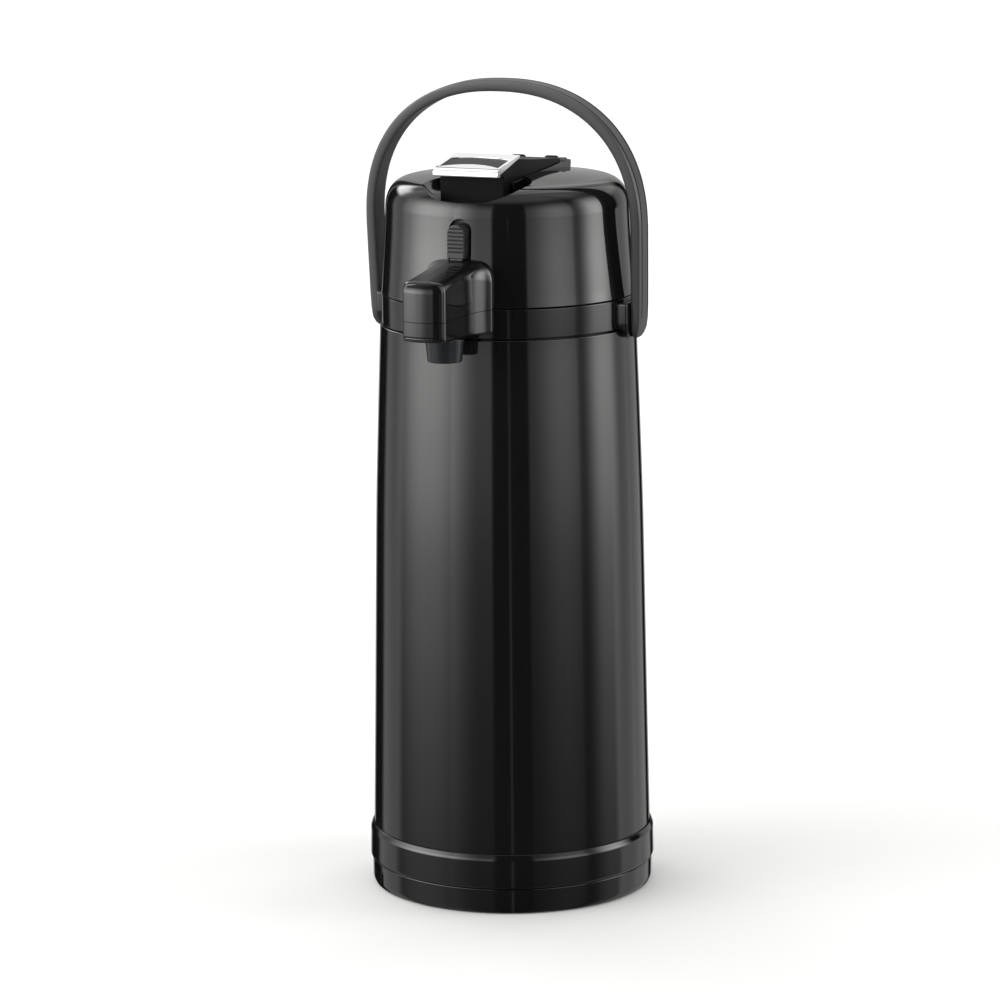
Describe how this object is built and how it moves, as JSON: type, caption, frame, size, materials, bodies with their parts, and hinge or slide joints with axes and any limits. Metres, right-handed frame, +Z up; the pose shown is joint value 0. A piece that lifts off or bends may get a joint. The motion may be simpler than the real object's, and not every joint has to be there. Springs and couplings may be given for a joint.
{
  "type": "thermal coffee airpot",
  "caption": "Tall insulated airpot with a lever pump in a hinged domed lid, a forward spout, a bail carry handle and a swivel foot, made of separate working pieces.",
  "frame": {"origin": "on the body's axis, at the surface that the airpot stands on", "axes": "+Z up; the spout points along -Y; +X is to the right of someone facing the spout"},
  "size_m": [0.1596, 0.1973, 0.4427],
  "materials": {
    "gloss_black": "polished moulded plastic",
    "satin_black": "satin moulded plastic",
    "lever_black": "semi-matt moulded plastic",
    "latch_black": "semi-matt moulded plastic",
    "nozzle_black": "satin moulded plastic, slightly blue",
    "inset_panel": "polished moulded plastic",
    "chrome_trim": "bright plated plastic",
    "black_rubber": "matt",
    "silicone": "food-grade silicone, matt",
    "inner_plastic": "unpolished moulded plastic",
    "white_nylon": "natural nylon",
    "silvered_glass": "silvered double-wall glass",
    "spring_steel": "bright drawn wire"
  },
  "bodies": {
    "pot": {"base_band": "gloss_black", "swivel_glide_ring": "white_nylon", "body_shell": "gloss_black", "liner_cushion": "black_rubber", "inner_flask": "silvered_glass", "outer_flask": "silvered_glass", "neck_gasket": "silicone", "collar": "gloss_black", "lid_hinge_pin": "spring_steel", "stem_seat": "inner_plastic", "dip_tube": "inner_plastic", "delivery_elbow": "inner_plastic", "delivery_tube": "silicone", "spout_upper_shell": "gloss_black", "spout_lower_shell": "gloss_black", "spout_nozzle": "nozzle_black", "spout_screw_right": "spring_steel", "spout_screw_left": "spring_steel", "handle_pivot_right": "spring_steel", "handle_pivot_left": "spring_steel"},
    "foot": {"swivel_foot": "gloss_black", "foot_rubber_ring": "black_rubber", "swivel_clip": "spring_steel"},
    "carry_handle": {"handle": "satin_black"},
    "lid": {"lid_dome": "gloss_black", "lid_base": "inner_plastic", "lid_gasket": "silicone", "lid_screw_1": "spring_steel", "lid_screw_2": "spring_steel", "lid_screw_3": "spring_steel", "lid_screw_4": "spring_steel", "air_valve": "silicone", "bellows": "silicone", "return_spring": "spring_steel", "lever_hinge_pin": "spring_steel", "latch_spring": "spring_steel"},
    "plunger": {"push_plate": "inner_plastic"},
    "lever": {"lever_arm": "lever_black", "lever_chrome_plate": "chrome_trim", "lever_inset_panel": "inset_panel"},
    "latch": {"latch_slider": "latch_black", "latch_retainer": "inner_plastic"}
  },
  "joints": [
    {"name": "base_swivel", "type": "hinge", "parent": "pot", "child": "foot", "pos_m": [0, 0, 0], "axis": [0, 0, 1], "continuous": true},
    {"name": "handle_swing", "type": "hinge", "parent": "pot", "child": "carry_handle", "pos_m": [0, 0, 0.317], "axis": [1, 0, 0], "range_deg": [-90, 65]},
    {"name": "lid_open", "type": "hinge", "parent": "pot", "child": "lid", "pos_m": [0, 0.0735, 0.3255], "axis": [-1, 0, 0], "range_deg": [0, 18]},
    {"name": "lever_press", "type": "hinge", "parent": "lid", "child": "lever", "pos_m": [0, 0.04, 0.3916], "axis": [1, 0, 0], "range_deg": [0, 7], "stiffness_Nm_per_rad": 4, "springref_deg": -5.73},
    {"name": "plunger_slide", "type": "slide", "parent": "lid", "child": "plunger", "axis": [0, 0, -1], "range_m": [0, 0.0055], "deforming": ["bellows", "return_spring"]},
    {"name": "latch_slide", "type": "slide", "parent": "lid", "child": "latch", "axis": [0, 0, 1], "range_m": [0, 0.0022], "stiffness_N_per_m": 400, "springref_m": -0.003, "deforming": ["latch_spring"]}
  ],
  "couplings": [
    {"joint": "plunger_slide", "follows": "lever_press", "m_per_rad": 0.04}
  ]
}
